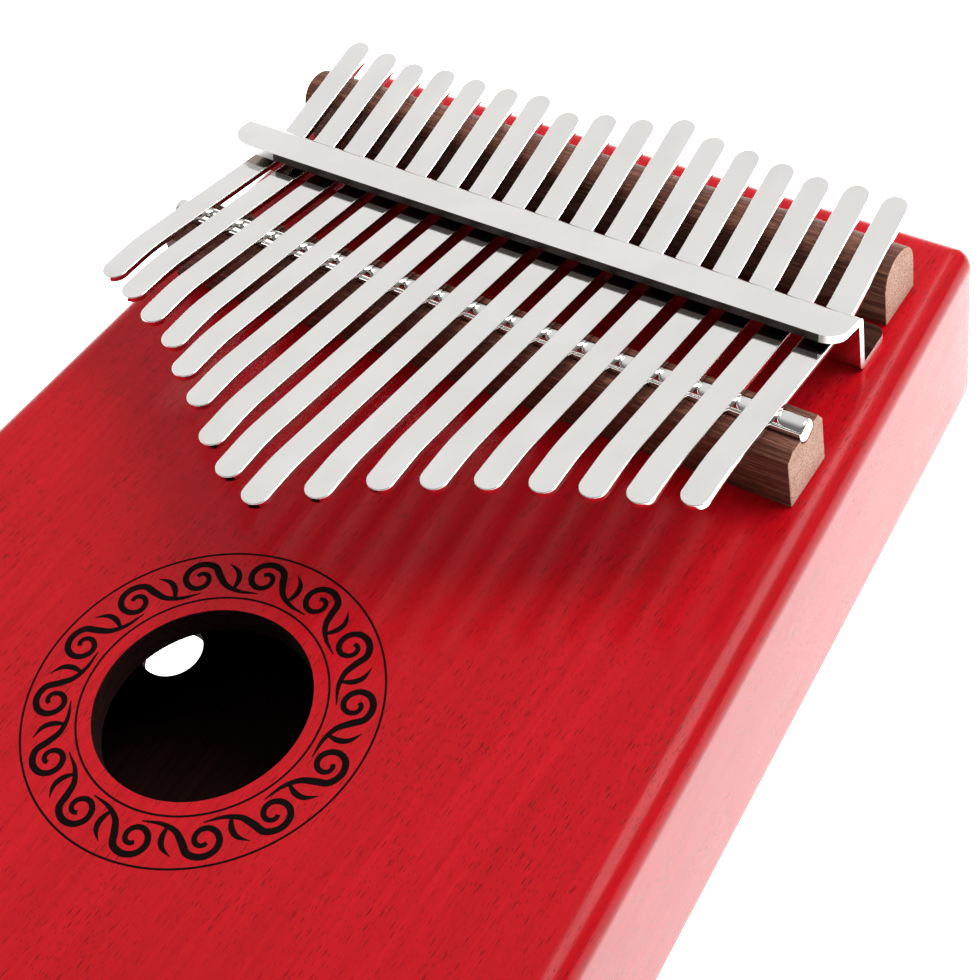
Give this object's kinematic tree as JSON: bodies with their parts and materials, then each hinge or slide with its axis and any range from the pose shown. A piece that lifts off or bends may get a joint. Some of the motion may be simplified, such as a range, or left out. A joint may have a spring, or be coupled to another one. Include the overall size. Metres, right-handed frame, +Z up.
{
  "type": "box mbira",
  "caption": "Tapered hollow wooden box with a round sound hole, carrying plucked steel tines clamped over a rod and two wooden bridges by a slotted Z bracket.",
  "frame": {"origin": "underside of the box, at the middle of its outline", "axes": "+X to the player's right, +Y from the player towards the tines' tails, +Z up out of the soundboard"},
  "size_m": [0.136, 0.183, 0.0545],
  "materials": {
    "stained_mahogany": "deep red stained mahogany under satin-gloss lacquer",
    "walnut": "open-grained dark walnut, oiled, light end grain",
    "bare_hardwood": "unfinished, inside the box",
    "plated_steel": "bright nickel plate",
    "screw_steel": "bright zinc plate",
    "tine_steel": "polished nickel-plated spring steel"
  },
  "bodies": {
    "body": {"soundboard": "stained_mahogany", "back_plate": "stained_mahogany", "rib_left": "stained_mahogany", "rib_right": "stained_mahogany", "rib_front": "stained_mahogany", "rib_rear": "stained_mahogany", "bracket_brace": "bare_hardwood", "front_bridge": "walnut", "bridge_rod": "plated_steel", "rear_bridge": "walnut", "pressure_bracket": "plated_steel", "bracket_screw_1": "screw_steel", "bracket_screw_2": "screw_steel", "bracket_screw_3": "screw_steel", "bracket_screw_4": "screw_steel", "bracket_screw_5": "screw_steel"},
    "tine_01": {"tine_01": "tine_steel"},
    "tine_02": {"tine_02": "tine_steel"},
    "tine_03": {"tine_03": "tine_steel"},
    "tine_04": {"tine_04": "tine_steel"},
    "tine_05": {"tine_05": "tine_steel"},
    "tine_06": {"tine_06": "tine_steel"},
    "tine_07": {"tine_07": "tine_steel"},
    "tine_08": {"tine_08": "tine_steel"},
    "tine_09": {"tine_09": "tine_steel"},
    "tine_10": {"tine_10": "tine_steel"},
    "tine_11": {"tine_11": "tine_steel"},
    "tine_12": {"tine_12": "tine_steel"},
    "tine_13": {"tine_13": "tine_steel"},
    "tine_14": {"tine_14": "tine_steel"},
    "tine_15": {"tine_15": "tine_steel"},
    "tine_16": {"tine_16": "tine_steel"},
    "tine_17": {"tine_17": "tine_steel"}
  },
  "joints": [
    {"name": "tine_01_flex", "type": "hinge", "parent": "body", "child": "tine_01", "pos_m": [-0.0488, 0.0403, 0.0431], "axis": [1, 0, 0], "range_deg": [-0.6, 0.8], "stiffness_Nm_per_rad": 10.39},
    {"name": "tine_02_flex", "type": "hinge", "parent": "body", "child": "tine_02", "pos_m": [-0.0427, 0.0403, 0.0431], "axis": [1, 0, 0], "range_deg": [-0.6, 0.8], "stiffness_Nm_per_rad": 9.27},
    {"name": "tine_03_flex", "type": "hinge", "parent": "body", "child": "tine_03", "pos_m": [-0.0366, 0.0403, 0.0431], "axis": [1, 0, 0], "range_deg": [-0.6, 0.8], "stiffness_Nm_per_rad": 8.21},
    {"name": "tine_04_flex", "type": "hinge", "parent": "body", "child": "tine_04", "pos_m": [-0.0305, 0.0403, 0.0431], "axis": [1, 0, 0], "range_deg": [-0.6, 0.8], "stiffness_Nm_per_rad": 7.36},
    {"name": "tine_05_flex", "type": "hinge", "parent": "body", "child": "tine_05", "pos_m": [-0.0244, 0.0403, 0.0431], "axis": [1, 0, 0], "range_deg": [-0.6, 0.8], "stiffness_Nm_per_rad": 6.38},
    {"name": "tine_06_flex", "type": "hinge", "parent": "body", "child": "tine_06", "pos_m": [-0.0183, 0.0403, 0.0431], "axis": [1, 0, 0], "range_deg": [-0.6, 0.8], "stiffness_Nm_per_rad": 5.7},
    {"name": "tine_07_flex", "type": "hinge", "parent": "body", "child": "tine_07", "pos_m": [-0.0122, 0.0403, 0.0431], "axis": [1, 0, 0], "range_deg": [-0.6, 0.8], "stiffness_Nm_per_rad": 4.98},
    {"name": "tine_08_flex", "type": "hinge", "parent": "body", "child": "tine_08", "pos_m": [-0.0061, 0.0403, 0.0431], "axis": [1, 0, 0], "range_deg": [-0.6, 0.8], "stiffness_Nm_per_rad": 4.56},
    {"name": "tine_09_flex", "type": "hinge", "parent": "body", "child": "tine_09", "pos_m": [0, 0.0403, 0.0431], "axis": [1, 0, 0], "range_deg": [-0.6, 0.8], "stiffness_Nm_per_rad": 4.33},
    {"name": "tine_10_flex", "type": "hinge", "parent": "body", "child": "tine_10", "pos_m": [0.0061, 0.0403, 0.0431], "axis": [1, 0, 0], "range_deg": [-0.6, 0.8], "stiffness_Nm_per_rad": 4.81},
    {"name": "tine_11_flex", "type": "hinge", "parent": "body", "child": "tine_11", "pos_m": [0.0122, 0.0403, 0.0431], "axis": [1, 0, 0], "range_deg": [-0.6, 0.8], "stiffness_Nm_per_rad": 5.48},
    {"name": "tine_12_flex", "type": "hinge", "parent": "body", "child": "tine_12", "pos_m": [0.0183, 0.0403, 0.0431], "axis": [1, 0, 0], "range_deg": [-0.6, 0.8], "stiffness_Nm_per_rad": 6.02},
    {"name": "tine_13_flex", "type": "hinge", "parent": "body", "child": "tine_13", "pos_m": [0.0244, 0.0403, 0.0431], "axis": [1, 0, 0], "range_deg": [-0.6, 0.8], "stiffness_Nm_per_rad": 6.68},
    {"name": "tine_14_flex", "type": "hinge", "parent": "body", "child": "tine_14", "pos_m": [0.0305, 0.0403, 0.0431], "axis": [1, 0, 0], "range_deg": [-0.6, 0.8], "stiffness_Nm_per_rad": 7.36},
    {"name": "tine_15_flex", "type": "hinge", "parent": "body", "child": "tine_15", "pos_m": [0.0366, 0.0403, 0.0431], "axis": [1, 0, 0], "range_deg": [-0.6, 0.8], "stiffness_Nm_per_rad": 8.05},
    {"name": "tine_16_flex", "type": "hinge", "parent": "body", "child": "tine_16", "pos_m": [0.0427, 0.0403, 0.0431], "axis": [1, 0, 0], "range_deg": [-0.6, 0.8], "stiffness_Nm_per_rad": 8.7},
    {"name": "tine_17_flex", "type": "hinge", "parent": "body", "child": "tine_17", "pos_m": [0.0488, 0.0403, 0.0431], "axis": [1, 0, 0], "range_deg": [-0.6, 0.8], "stiffness_Nm_per_rad": 9.91}
  ]
}
